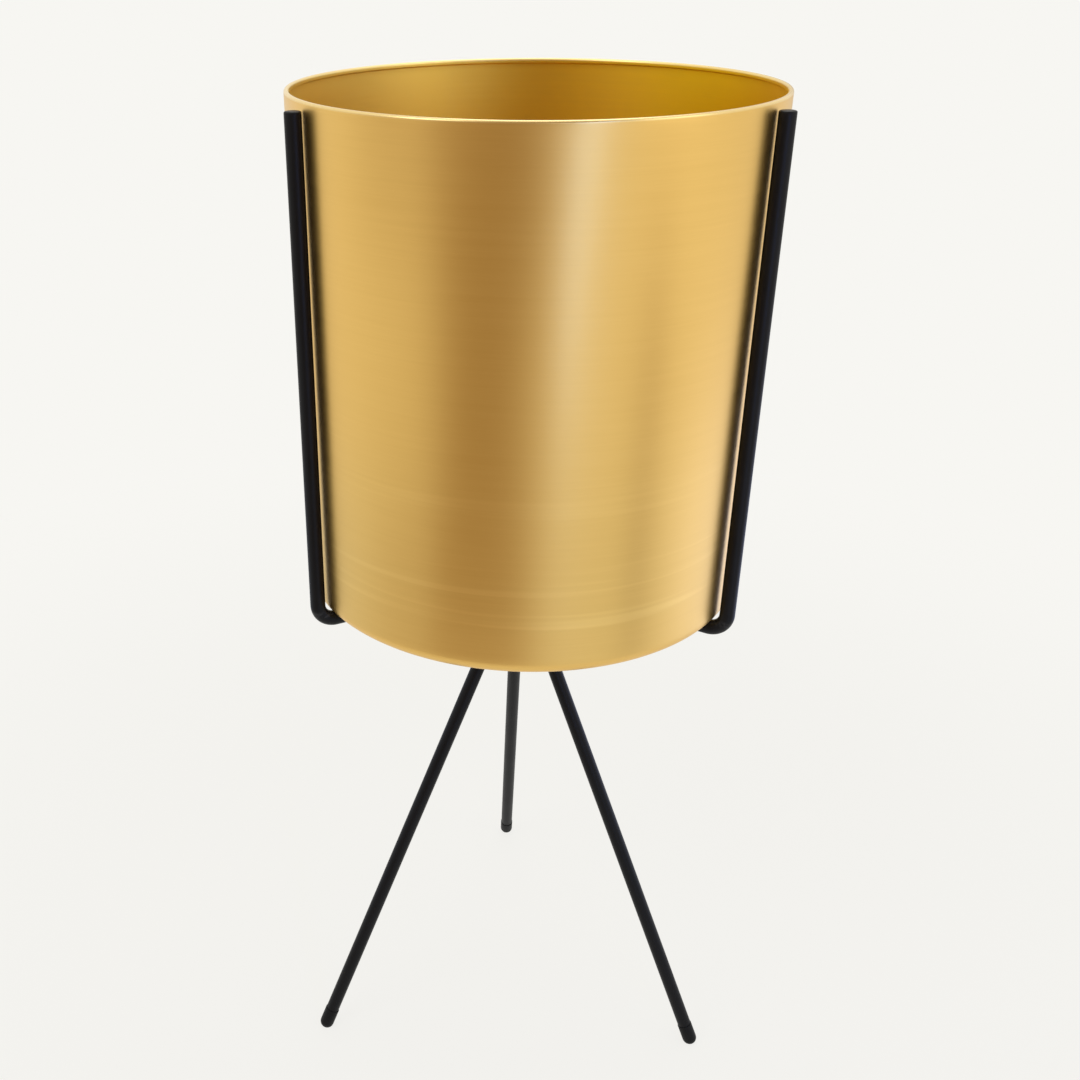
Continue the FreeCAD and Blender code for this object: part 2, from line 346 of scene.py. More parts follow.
def pot_tree():
    """Spun pot: inner floor, inner wall, hem folded inwards, lip, outer wall and underside."""
    graph = ShapeGraph("spun_pot")
    floor = graph.input("Floor Level")
    height = graph.input("Height")
    rim = graph.input("Rim Radius")
    base = graph.input("Base Radius")
    sheet = graph.input("Sheet")
    bend = graph.input("Bottom Bend")
    hem = graph.input("Hem Thickness")
    hem_depth = graph.input("Hem Depth")
    lip_flat = graph.input("Lip Flat")
    edge_round = graph.input("Edge Round")
    row = graph.input("Row Height")
    segments = graph.input("Segments", "NodeSocketInt")
    material = graph.input("Material", "NodeSocketMaterial")
    top = floor + height
    inner_floor = floor + sheet
    hem_level = top - hem_depth
    draft = (rim - base) / height
    inner_base = base + draft * sheet - sheet
    inner_hem = base + draft * (height - hem_depth) - sheet
    bore = rim - hem
    lip = (hem - lip_flat) / 2.0
    corners = [
        (profile_point(graph, 0.0, inner_floor), 0.0),
        (profile_point(graph, inner_base, inner_floor), bend - sheet),
        (profile_point(graph, inner_hem, hem_level), edge_round),
        (profile_point(graph, bore, hem_level), edge_round),
        (profile_point(graph, bore, top), lip),
        (profile_point(graph, rim, top), lip),
        (profile_point(graph, base, floor), bend),
        (profile_point(graph, 0.0, floor), 0.0),
    ]
    curve, radii = polyline(graph, corners)
    profile = in_rows(graph, rounded(graph, curve, radii, POT_BEND_STEPS), row)
    return graph.finish(turned(graph, profile, segments), material)


def rod_tree():
    """Bent rod: arm with a softened end, curl under the pot, level run, elbow and leg."""
    graph = ShapeGraph("bent_rod")
    arm_top = graph.input("Arm Top", "NodeSocketVector")
    curl_corner = graph.input("Curl Corner", "NodeSocketVector")
    elbow_corner = graph.input("Elbow Corner", "NodeSocketVector")
    leg_end = graph.input("Leg End", "NodeSocketVector")
    radius = graph.input("Rod Radius")
    curl = graph.input("Curl Radius")
    elbow = graph.input("Elbow Radius")
    end_round = graph.input("End Round")
    azimuth = graph.input("Azimuth")
    sides = graph.input("Sides", "NodeSocketInt")
    material = graph.input("Material", "NodeSocketMaterial")
    down = graph.add("ShaderNodeVectorMath", {"operation": "SUBTRACT"}, {0: curl_corner, 1: arm_top})
    down = graph.add("ShaderNodeVectorMath", {"operation": "NORMALIZE"}, {0: down})

    # The softened end is a quarter circle in a few steps.
    corners = []
    for step in range(ARM_END_STEPS):
        turn = QUARTER_TURN * step / (ARM_END_STEPS - 1)
        travel = graph.add(
            "ShaderNodeVectorMath",
            {"operation": "SCALE"},
            {0: down, "Scale": end_round * (1 - math.cos(turn))},
        )
        point = graph.add("ShaderNodeVectorMath", {"operation": "ADD"}, {0: arm_top, 1: travel})
        corners.append((point, 0.0))
    corners += [(curl_corner, curl), (elbow_corner, elbow), (leg_end, 0.0)]
    curve, radii = polyline(graph, corners)
    path = rounded(graph, curve, radii, ROD_BEND_STEPS)
    travelled = graph.add("GeometryNodeSplineParameter", None, None, "Length")
    to_go = graph.math("MAXIMUM", 1.0 - travelled / end_round, 0.0)
    swell = graph.math("SQRT", 1.0 - to_go * to_go)
    thickness = 1.0 - end_round / radius * (1.0 - swell)
    section = graph.add("GeometryNodeCurvePrimitiveCircle", None, {"Resolution": sides, "Radius": radius})
    bar = graph.add(
        "GeometryNodeCurveToMesh",
        None,
        {"Curve": path, "Profile Curve": section, "Scale": thickness, "Fill Caps": True},
    )
    return graph.finish(about_axis(graph, bar, azimuth), material)


def tip_tree():
    """Dipped tip: a thin sleeve with a rolled mouth and a round nose, worn flat on the floor."""
    graph = ShapeGraph("dipped_tip")
    outside = graph.input("Outside Radius")
    bore = graph.input("Bore Radius")
    length = graph.input("Length")
    mouth = graph.input("Mouth Round")
    leg_end = graph.input("Leg End", "NodeSocketVector")
    splay = graph.input("Splay")
    azimuth = graph.input("Azimuth")
    segments = graph.input("Segments", "NodeSocketInt")
    material = graph.input("Material", "NodeSocketMaterial")
    corners = [
        (profile_point(graph, 0.0, 0.0), 0.0),
        (profile_point(graph, bore, 0.0), 0.0),
        (profile_point(graph, bore, length), mouth),
        (profile_point(graph, outside, length), mouth),
        (profile_point(graph, outside, outside * -1.0), outside),
        (profile_point(graph, 0.0, outside * -1.0), 0.0),
    ]
    curve, radii = polyline(graph, corners)
    shell = turned(graph, rounded(graph, curve, radii, TIP_BEND_STEPS), segments)
    here = graph.add("GeometryNodeInputPosition")
    leaning = graph.add(
        "ShaderNodeVectorRotate", {"rotation_type": "Y_AXIS"}, {"Vector": here, "Angle": splay * -1.0}
    )
    standing = graph.add("ShaderNodeVectorMath", {"operation": "ADD"}, {0: leaning, 1: leg_end})
    worn = graph.add("ShaderNodeVectorMath", {"operation": "MAXIMUM"}, {0: standing, 1: LOWEST})
    shell = graph.add("GeometryNodeSetPosition", None, {"Geometry": shell, "Position": worn})
    return graph.finish(about_axis(graph, shell, azimuth), material)


def weld_tree():
    """Weld: a lumpy core between the elbows and a bead of overlapping ripples in each corner."""
    graph = ShapeGraph("hub_weld_bead")
    centre = graph.input("Centre", "NodeSocketVector")
    core = graph.input("Core Size", "NodeSocketVector")
    lump = graph.input("Lump Height")
    low = graph.input("Bead Start", "NodeSocketVector")
    middle = graph.input("Bead Middle", "NodeSocketVector")
    high = graph.input("Bead End", "NodeSocketVector")
    ripples = graph.input("Ripples", "NodeSocketInt")
    ripple_size = graph.input("Ripple Size", "NodeSocketVector")
    beads = graph.input("Beads", "NodeSocketInt")
    first = graph.input("First Azimuth")
    material = graph.input("Material", "NodeSocketMaterial")

    ball = graph.add("GeometryNodeMeshIcoSphere", None, {"Radius": 1.0, "Subdivisions": 5})
    here = graph.add("GeometryNodeInputPosition")
    sized = graph.add("ShaderNodeVectorMath", {"operation": "MULTIPLY"}, {0: here, 1: core})
    bump = graph.swing(here, scale=2.6, detail=2.0) * lump
    outward = graph.add("ShaderNodeVectorMath", {"operation": "SCALE"}, {0: here, "Scale": bump})
    sized = graph.add("ShaderNodeVectorMath", {"operation": "ADD"}, {0: sized, 1: outward})
    sized = graph.add("ShaderNodeVectorMath", {"operation": "ADD"}, {0: sized, 1: centre})
    ball = graph.add("GeometryNodeSetPosition", None, {"Geometry": ball, "Position": sized})

    path = graph.add(
        "GeometryNodeCurveQuadraticBezier",
        None,
        {"Resolution": ripples, "Start": low, "Middle": middle, "End": high},
    )
    tangent = graph.add("GeometryNodeInputTangent")
    facing = graph.add("FunctionNodeAlignRotationToVector", {"axis": "Z"}, {"Vector": tangent})
    uneven = graph.add(
        "FunctionNodeRandomValue",
        {"data_type": "FLOAT"},
        {"Min_001": 0.86, "Max_001": 1.12, "Seed": 4},
        "Value_001",
    )
    scale = graph.add("ShaderNodeVectorMath", {"operation": "SCALE"}, {0: ripple_size, "Scale": uneven})
    coin = graph.add("GeometryNodeMeshIcoSphere", None, {"Radius": 1.0, "Subdivisions": 3})
    coins = graph.add(
        "GeometryNodeInstanceOnPoints",
        None,
        {"Points": path, "Instance": coin, "Rotation": facing, "Scale": scale},
    )
    coins = graph.add("GeometryNodeRealizeInstances", None, {"Geometry": coins})
    spots = graph.add("GeometryNodePoints", None, {"Count": beads})
    number = graph.add("GeometryNodeInputIndex")
    azimuth = graph.vector(0.0, 0.0, first + number * FULL_TURN / beads)
    ring = graph.add(
        "GeometryNodeInstanceOnPoints", None, {"Points": spots, "Instance": coins, "Rotation": azimuth}
    )
    both = graph.add("GeometryNodeJoinGeometry", None, {"Geometry": [ball, ring]})
    return graph.finish(both, material)


def make_piece(name, tree, values, body, replaced):
    """Run a geometry tree once, keep its mesh as a plain piece and let it ride on its body."""
    piece = bpy.data.objects.new(name, bpy.data.meshes.new(name))
    bpy.context.scene.collection.objects.link(piece)
    modifier = piece.modifiers.new("shape", "NODES")
    modifier.node_group = tree
    for item in tree.interface.items_tree:
        if item.in_out == "INPUT":
            modifier[item.identifier] = values[item.name]
    depsgraph = bpy.context.evaluated_depsgraph_get()
    mesh = bpy.data.meshes.new_from_object(piece.evaluated_get(depsgraph), depsgraph=depsgraph)
    piece.modifiers.remove(modifier)
    empty_mesh = piece.data
    piece.data = mesh
    bpy.data.meshes.remove(empty_mesh)
    mesh.name = name
    if not mesh.polygons:
        raise RuntimeError(f"{name} came out with no faces")
    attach(piece, body)
    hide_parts(replaced)
    return piece


def lip_distance(pot):
    """Distance along the turned profile from the middle of the inner floor to the lip."""
    bends = pot.bottom_bend - pot.sheet + 2 * pot.edge_round + (pot.hem_thickness - pot.lip_flat) / 2
    straight = pot.base_radius + pot.height + 1.5 * pot.hem_thickness - 3 * pot.sheet
    return straight - bends * (2 - QUARTER_TURN)


def opaque(colour):
    """A colour with full alpha."""
    return (*colour, 1.0)


def spun_brass(finish, pot):
    """Lacquered brass, brushed round the pot, with faint turning lines low on the wall."""
    paint = MaterialGraph("spun_brass")
    place = paint.add("ShaderNodeTexCoord", None, None, "Object")
    split = paint.add("ShaderNodeSeparateXYZ", None, {"Vector": place})
    across, depth, height = split, split.output("Y"), split.output("Z")
    along = paint.add("ShaderNodeAttribute", {"attribute_name": "along"}, None, "Fac")

    def marks_round_pot(around, down):
        """Place in a noise that is drawn out round the pot, with its rates per metre."""
        return paint.vector(across * around, depth * around, along * down)

    hairs = paint.swing(marks_round_pot(26.0, 2100.0), scale=1.0, detail=3.0, roughness=0.6)
    strokes = paint.swing(marks_round_pot(9.0, 420.0), scale=1.0, detail=3.0, roughness=0.6)
    rings = paint.noise(marks_round_pot(4.0, 150.0), scale=1.0, detail=2.0)
    cloud = paint.swing(place, scale=11.0, detail=3.0)

    fade_low, fade_high = LINES_FADE
    low_wall = 1.0 - paint.ramp_between(height, pot.floor_level + fade_low, pot.floor_level + fade_high)
    lines = paint.ramp_between(rings, 0.56, 0.72) * low_wall
    tone = 0.5 + strokes * 0.26 + hairs * 0.2 + cloud * 0.35 + lines * 0.28
    colour = paint.mix_colour(tone, opaque(finish.brass_deep), opaque(finish.brass_light))

    # The inside is left as spun and duller. Its colour is painted light and shade: paler at the left,
    # warmer at the right and a painted shade in the middle, with tone that varies at random.
    to_right = paint.ramp_between(across, *INSIDE_TURN)
    within = paint.mix_colour(to_right, opaque(finish.inside_painted_light_left), opaque(finish.inside_painted_light_right))
    aside = paint.math("ABSOLUTE", across - PAINTED_SHADE_PLACE)
    middle = 1.0 - paint.ramp_between(aside, *PAINTED_SHADE_FADE)
    shade_and_tone = middle * 0.8 + cloud * 0.5 + strokes * 0.25
    within = paint.mix_colour(shade_and_tone, within, opaque(finish.inside_painted_shade))
    lip_place = lip_distance(pot)
    inside = 1.0 - paint.ramp_between(along, lip_place - 0.0008, lip_place + 0.0004)
    colour = paint.mix_colour(inside, colour, within)

    # A painted highlight: the lip is painted paler and whiter, and it is smoother.
    top = pot.floor_level + pot.height
    lip = paint.ramp_between(height, top - 0.0016, top - 0.0005)
    colour = paint.mix_colour(lip * 0.8, colour, opaque(finish.brass_lip_painted_highlight))
    roughness = 0.36 + inside * 0.1 - lip * 0.12 + hairs * 0.08 + strokes * 0.06 + cloud * 0.06
    relief = (hairs + strokes + lines) * 0.5
    normal = paint.add(
        "ShaderNodeBump", None, {"Strength": 0.014, "Distance": BRASS_RELIEF, "Height": relief}
    )
    shader = paint.add("ShaderNodeBsdfPrincipled", None, {
        "Base Color": colour,
        "Metallic": 1.0,
        "Roughness": roughness,
        "Anisotropic": 0.35,
        "Anisotropic Rotation": 0.25,
        "Normal": normal,
    })
    return paint.finish(shader)


def black_shader(paint, colour, roughness, relief, strength):
    """Shader of a black skin with fine relief and little shine."""
    normal = paint.add(
        "ShaderNodeBump", None, {"Strength": strength, "Distance": BLACK_RELIEF, "Height": relief}
    )
    return paint.add("ShaderNodeBsdfPrincipled", None, {
        "Base Color": colour,
        "Roughness": roughness,
        "Specular IOR Level": BLACK_SHINE,
        "Normal": normal,
    })


def satin_coat(finish, pot):
    """Satin powder coat: fine orange peel, soft mottling and a rubbed stripe where the pot rests."""
    paint = MaterialGraph("satin_coat")
    place = paint.add("ShaderNodeTexCoord", None, None, "Object")
    height = paint.add("ShaderNodeSeparateXYZ", None, {"Vector": place}, "Z")
    peel = paint.swing(place, scale=1500.0, detail=2.0)
    mottle = paint.swing(place, scale=60.0, detail=3.0)
    scuffs = paint.noise(place, scale=320.0, detail=4.0, roughness=0.65)
    seat = pot.floor_level
    top_of_run = paint.ramp_between(height, seat - 0.0012, seat - 0.0004)
    below_pot = 1.0 - paint.ramp_between(height, seat + 0.001, seat + 0.004)
    rubbed = top_of_run * below_pot * paint.ramp_between(scuffs, 0.42, 0.6)
    tone = 0.5 + mottle * 0.8 + peel * 0.4
    colour = paint.mix_colour(tone, opaque(finish.coat_deep), opaque(finish.coat_light))
    colour = paint.mix_colour(rubbed * 0.6, colour, opaque(finish.coat_rubbed))
    roughness = 0.42 + mottle * 0.12 + peel * 0.08 - rubbed * 0.12
    return paint.finish(black_shader(paint, colour, roughness, peel, strength=0.2))


def dipped_vinyl(finish):
    """Dipped vinyl: deep black with a soft sheen, scuffed grey where it stands on the floor."""
    paint = MaterialGraph("dipped_vinyl")
    place = paint.add("ShaderNodeTexCoord", None, None, "Object")
    height = paint.add("ShaderNodeSeparateXYZ", None, {"Vector": place}, "Z")
    skin = paint.swing(place, scale=900.0, detail=2.0)
    scuffs = paint.noise(place, scale=700.0, detail=4.0, roughness=0.7)
    near_floor = 1.0 - paint.ramp_between(height, 0.0002, 0.0022)
    worn = near_floor * paint.ramp_between(scuffs, 0.35, 0.65)
    colour = paint.mix_colour(0.5 + skin * 0.8, opaque(finish.vinyl_deep), opaque(finish.vinyl_light))
    colour = paint.mix_colour(worn * 0.7, colour, opaque(finish.vinyl_worn))
    roughness = 0.5 + skin * 0.12 + worn * 0.3
    return paint.finish(black_shader(paint, colour, roughness, skin, strength=0.25))


def material_of(maker, *inputs):
    """A finish, named as its maker is, and made when it is first asked for."""
    return bpy.data.materials.get(maker.__name__) or maker(*inputs)


def length_property(name, description, default):
    return bpy.props.FloatProperty(
        name=name, description=description, default=default, min=0.0, unit="LENGTH", precision=5
    )


def colour_property(name, description, default):
    return bpy.props.FloatVectorProperty(
        name=name, description=description, default=default, size=3, min=0.0, max=1.0, subtype="COLOR"
    )


def power_property(name, description, default):
    return bpy.props.FloatProperty(
        name=name, description=description, default=default, min=0.0, unit="POWER"
    )


class PotSizes(bpy.types.PropertyGroup):
    """Sizes of the pot."""

    floor_level: length_property("Floor level", "Height of the pot's underside", POT_LOW.z)
    height: length_property("Height", "From the underside to the lip", POT_HIGH.z - POT_LOW.z)
    rim_radius: length_property("Rim radius", "Outside radius at the lip", POT_HIGH.x)
    base_radius: length_property("Base radius", "Outside radius of the wall at the underside", 0.119)
    sheet: length_property("Sheet", "Thickness of the metal", 0.0012)
    bottom_bend: length_property("Bottom bend", "Radius between wall and underside", 0.007)
    hem_thickness: length_property("Hem thickness", "Thickness of the folded edge", 0.0024)
    hem_depth: length_property("Hem depth", "Height of the folded edge inside", 0.0026)
    lip_flat: length_property("Lip flat", "Flat left between the lip's rounded corners", 0.0002)
    edge_round: length_property("Edge round", "Radius on the hem's lower edge", 0.0004)


class StandSizes(bpy.types.PropertyGroup):
    """Sizes of the rods and the dipped tips."""

    rod_radius: length_property("Rod radius", "Radius of the bar", (ROD_HIGH.x - ROD_LOW.x) / 2)
    arm_drop: length_property("Arm drop", "How far the arms end below the lip", 0.004)
    arm_gap_top: length_property("Upper gap", "Gap from the arm to the pot's rim", 0.0005)
    arm_gap_low: length_property("Lower gap", "Gap from the arm to the pot's base", 0.0012)
    seat_gap: length_property("Seat gap", "Gap from the rods to the pot's underside", 0.0003)
    curl_radius: length_property("Curl radius", "Bend under the pot's edge, on the centre line", 0.010)
    elbow_radius: length_property("Elbow radius", "Bend in the middle, on the centre line", 0.009)
    elbow_gap: length_property("Elbow gap", "Space between two elbows", 0.0005)
    end_round: length_property("End round", "Radius on the end of an arm", 0.0008)
    foot_circle: length_property("Foot circle", "Radius of the feet from the axis", FEET["back_foot"].y)
    tip_fit: length_property("Tip fit", "Clearance of a tip on its rod", 0.00005)
    tip_length: length_property("Tip length", "Length of the sleeve on the leg", 0.010)
    tip_wear: length_property("Tip wear", "How much of a tip is worn flat", 0.001)
    mouth_round: length_property("Mouth round", "Radius on the edge of the sleeve", 0.0001)


class Finishes(bpy.types.PropertyGroup):
    """Colours of the finishes."""

    brass_deep: colour_property("Brass, deep", "Darker strokes of the brass", (0.76, 0.46, 0.115))
    brass_light: colour_property("Brass, light", "Lighter strokes of the brass", (0.94, 0.63, 0.20))
    # Inside colours are painted light and shade: paler at the left, warmer at the right, darker in the
    # middle
    inside_painted_light_left: colour_property("Inside, pale", "Brass inside the pot, at the left", (0.91, 0.68, 0.17))
    inside_painted_light_right: colour_property("Inside, warm", "Brass inside the pot, at the right", (0.97, 0.65, 0.02))
    inside_painted_shade: colour_property("Inside, deep", "Tarnished brass inside the pot", (0.70, 0.42, 0.045))
    # Painted highlight along the lip
    brass_lip_painted_highlight: colour_property("Brass, lip", "Burnished brass on the lip", (0.95, 0.74, 0.36))
    coat_deep: colour_property("Coat, deep", "Darker mottling of the coat", (0.004, 0.0037, 0.004))
    coat_light: colour_property("Coat, light", "Lighter mottling of the coat", (0.009, 0.0083, 0.009))
    coat_rubbed: colour_property("Coat, rubbed", "Coat where the pot has rubbed it", (0.05, 0.048, 0.046))
    vinyl_deep: colour_property("Vinyl, deep", "Darker patches of the tips", (0.003, 0.003, 0.003))
    vinyl_light: colour_property("Vinyl, light", "Lighter patches of the tips", (0.006, 0.006, 0.006))
    vinyl_worn: colour_property("Vinyl, worn", "Tips where they rub on the floor", (0.07, 0.068, 0.064))


class Studio(bpy.types.PropertyGroup):
    """Camera, light and background."""

    camera_place: bpy.props.FloatVectorProperty(
        name="Camera place",
        description="Where the camera stands",
        default=(-0.01574, -0.64323, 0.63373),
        size=3,
        subtype="TRANSLATION",
        unit="LENGTH",
    )
    camera_turn: bpy.props.FloatVectorProperty(
        name="Camera turn",
        description="Pitch down, yaw to the right and roll of the camera",
        default=(math.radians(CAMERA_PITCH), math.radians(CAMERA_YAW), math.radians(CAMERA_ROLL)),
        size=3,
        subtype="EULER",
        unit="ROTATION",
    )
    lens: bpy.props.FloatProperty(
        name="Lens", description="Focal length", default=42.005, min=1.0, unit="CAMERA"
    )
    shift: bpy.props.FloatVectorProperty(
        name="Shift", description="Shift of the picture, in widths", default=(0.1204, 0.0155), size=2
    )
    background: colour_property(
        "Background", "Colour of the floor and the surroundings", (0.93, 0.922, 0.888)
    )
    key_power: power_property("Key light", "Power of the key light", 5.0)
    fill_power: power_property("Fill light", "Power of the fill light", 2.0)
    top_power: power_property("Top light", "Power of the light overhead", 3.5)
    strip_power: power_property("Strip light", "Power of the narrow light in front", 1.4)


def touching_corner(end, centre, radius, level):
    """Where the straight from an end that touches a bend would meet the level run."""
    reach = centre - end
    lean = math.atan2(reach.x, reach.y) - math.asin(radius / reach.length)
    heading = Vector((math.sin(lean), math.cos(lean)))
    return end + heading * ((level - end.y) / heading.y)


class StandLine:
    """The rods' centre line, as distances from the axis and heights."""

    def __init__(self, pot, stand):
        top = pot.floor_level + pot.height
        self.level = pot.floor_level - stand.seat_gap - stand.rod_radius
        self.arm_top = Vector((pot.rim_radius + stand.arm_gap_top + stand.rod_radius, top - stand.arm_drop))
        curl_reach = pot.base_radius + stand.arm_gap_low + stand.rod_radius - stand.curl_radius
        curl = Vector((curl_reach, self.level + stand.curl_radius))
        elbow_reach = (2 * stand.rod_radius + stand.elbow_gap) / math.sqrt(3) + stand.elbow_radius
        self.elbow = Vector((elbow_reach, self.level - stand.elbow_radius))
        self.tip_radius = (TIP_HIGH.x - TIP_LOW.x) / 2
        self.leg_end = Vector((stand.foot_circle, self.tip_radius - stand.tip_wear))
        self.curl_corner = touching_corner(self.arm_top, curl, stand.curl_radius, self.level)
        self.elbow_corner = touching_corner(self.leg_end, self.elbow, stand.elbow_radius, self.level)
        leg = self.leg_end - self.elbow_corner
        self.splay = math.atan2(leg.x, -leg.y)


def upright(point):
    """A point of the rods' plane, given by its distance from the axis and its height."""
    return (point.x, 0.0, point.y)


def azimuth_of(side):
    """Direction of a rod from the axis, as its foot gives it."""
    foot = FEET[f"{side}_foot"]
    return math.atan2(foot.y, foot.x)


class PlanterOperator:
    """What the planter's operators share."""

    bl_options = {"REGISTER", "UNDO"}

    @staticmethod
    def settings(context):
        """Sizes of the pot and of the stand, and the finishes."""
        scene = context.scene
        return scene.planter_pot, scene.planter_stand, scene.planter_finishes


class PLANTER_OT_pot(PlanterOperator, bpy.types.Operator):
    """Make the brushed pot"""

    bl_idname = "planter.pot"
    bl_label = "Make the pot"

    def execute(self, context):
        pot, _, finishes = self.settings(context)
        values = {
            "Floor Level": pot.floor_level,
            "Height": pot.height,
            "Rim Radius": pot.rim_radius,
            "Base Radius": pot.base_radius,
            "Sheet": pot.sheet,
            "Bottom Bend": pot.bottom_bend,
            "Hem Thickness": pot.hem_thickness,
            "Hem Depth": pot.hem_depth,
            "Lip Flat": pot.lip_flat,
            "Edge Round": pot.edge_round,
            "Row Height": 0.003,
            "Segments": 192,
            "Material": material_of(spun_brass, finishes, pot),
        }
        make_piece("pot", pot_tree(), values, "pot", "pot_shell")
        return {"FINISHED"}


class PLANTER_OT_rods(PlanterOperator, bpy.types.Operator):
    """Make the three bent rods of the stand"""

    bl_idname = "planter.rods"
    bl_label = "Make the rods"

    def execute(self, context):
        pot, stand, finishes = self.settings(context)
        line = StandLine(pot, stand)
        tree = rod_tree()
        values = {
            "Arm Top": upright(line.arm_top),
            "Curl Corner": upright(line.curl_corner),
            "Elbow Corner": upright(line.elbow_corner),
            "Leg End": upright(line.leg_end),
            "Rod Radius": stand.rod_radius,
            "Curl Radius": stand.curl_radius,
            "Elbow Radius": stand.elbow_radius,
            "End Round": stand.end_round,
            "Sides": 32,
            "Material": material_of(satin_coat, finishes, pot),
        }
        for side in SIDES:
            values["Azimuth"] = azimuth_of(side)
            make_piece(f"bent_rod_{side}", tree, values, "stand", f"rod_{side}")
        return {"FINISHED"}


class PLANTER_OT_weld(PlanterOperator, bpy.types.Operator):
    """Make the weld between the elbows"""

    bl_idname = "planter.weld"
    bl_label = "Make the weld"

    def execute(self, context):
        pot, _, finishes = self.settings(context)
        low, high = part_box("hub_weld")
        size = (high - low) / 2
        centre = (high + low) / 2

        def bead_point(shares):
            outwards, upwards = shares
            return (size.x * outwards, 0.0, centre.z + size.z * upwards)

        values = {
            "Centre": tuple(centre),
            "Core Size": tuple(side * WELD_CORE for side in size),
            "Lump Height": 0.0012,
            "Bead Start": bead_point(BEAD_START),
            "Bead Middle": bead_point(BEAD_MIDDLE),
            "Bead End": bead_point(BEAD_END),
            "Ripples": 9,
            "Ripple Size": (0.0024, 0.0024, 0.0011),
            "Beads": len(SIDES),
            "First Azimuth": azimuth_of("back") + math.pi,
            "Material": material_of(satin_coat, finishes, pot),
        }
        make_piece("weld", weld_tree(), values, "stand", "hub_weld")
        return {"FINISHED"}


class PLANTER_OT_tips(PlanterOperator, bpy.types.Operator):
    """Make the dipped tips on the legs"""

    bl_idname = "planter.tips"
    bl_label = "Make the dipped tips"

    def execute(self, context):
        pot, stand, finishes = self.settings(context)
        line = StandLine(pot, stand)
        tree = tip_tree()
        values = {
            "Outside Radius": line.tip_radius,
            "Bore Radius": stand.rod_radius + stand.tip_fit,
            "Length": stand.tip_length,
            "Mouth Round": stand.mouth_round,
            "Leg End": upright(line.leg_end),
            "Splay": line.splay,
            "Segments": 48,
            "Material": material_of(dipped_vinyl, finishes),
        }
        for side in SIDES:
            values["Azimuth"] = azimuth_of(side)
            make_piece(f"dipped_tip_{side}", tree, values, "stand", f"foot_tip_{side}")
        return {"FINISHED"}


def seen_as_background(graph):
    """1 for rays from the camera, and for those that metal or glass sends on."""
    path = graph.add("ShaderNodeLightPath", None, None, "Is Camera Ray")
    glossy = path.output("Is Glossy Ray")
    through = path.output("Is Transmission Ray")
    return graph.math("MAXIMUM", graph.math("MAXIMUM", path, glossy), through)


def light_surroundings(studio):
    """Pale surroundings, at full strength where they are seen and softer as light."""
    world = bpy.data.worlds.new("pale_surroundings")
    bpy.context.scene.world = world
    world.use_nodes = True
    graph = Graph(world.node_tree)
    graph.tree.nodes.clear()
    colour = opaque(studio.background)
    as_light = graph.add("ShaderNodeBackground", None, {"Color": colour, "Strength": AMBIENT})
    as_seen = graph.add("ShaderNodeBackground", None, {"Color": colour, "Strength": 1.0})
    mixed = graph.add(
        "ShaderNodeMixShader", None, {0: seen_as_background(graph), 1: as_light, 2: as_seen}
    )
    graph.add("ShaderNodeOutputWorld", None, {"Surface": mixed})


def floor_material(studio):
    """Pale floor that keeps the shadow near the stand and fades into the surroundings."""
    paint = MaterialGraph("pale_floor")
    place = paint.add("ShaderNodeTexCoord", None, None, "Object")
    distance = paint.add("ShaderNodeVectorMath", {"operation": "LENGTH"}, {0: place}, "Value")
    far = paint.ramp_between(distance, *FLOOR_FADE)
    glow = seen_as_background(paint) * (FLOOR_GLOW + far * (1.0 - FLOOR_GLOW))
    colour = opaque(studio.background)
    matte = paint.add("ShaderNodeBsdfDiffuse", None, {"Color": colour})
    shine = paint.add("ShaderNodeEmission", None, {"Color": colour, "Strength": 1.0})
    return paint.finish(paint.add("ShaderNodeMixShader", None, {0: glow, 1: matte, 2: shine}))


def ramp_in_degrees(paint, angle, low, high):
    """Smooth rise from 0 to 1 between two angles, given in degrees."""
    return paint.ramp_between(angle, math.radians(low), math.radians(high))


def card_band(paint, angle, core, tail, reach=0.0):
    """A dark band of the card just left of an angle of zero, and its wider, weaker tail.

    The reach is an angle by which the band goes further to the right.
    """
    right_end = 1.0 - ramp_in_degrees(paint, angle - reach, -13, 20)
    core = ramp_in_degrees(paint, angle, -50, -24) * core
    return right_end * (core + ramp_in_degrees(paint, angle, -92, -55) * tail)


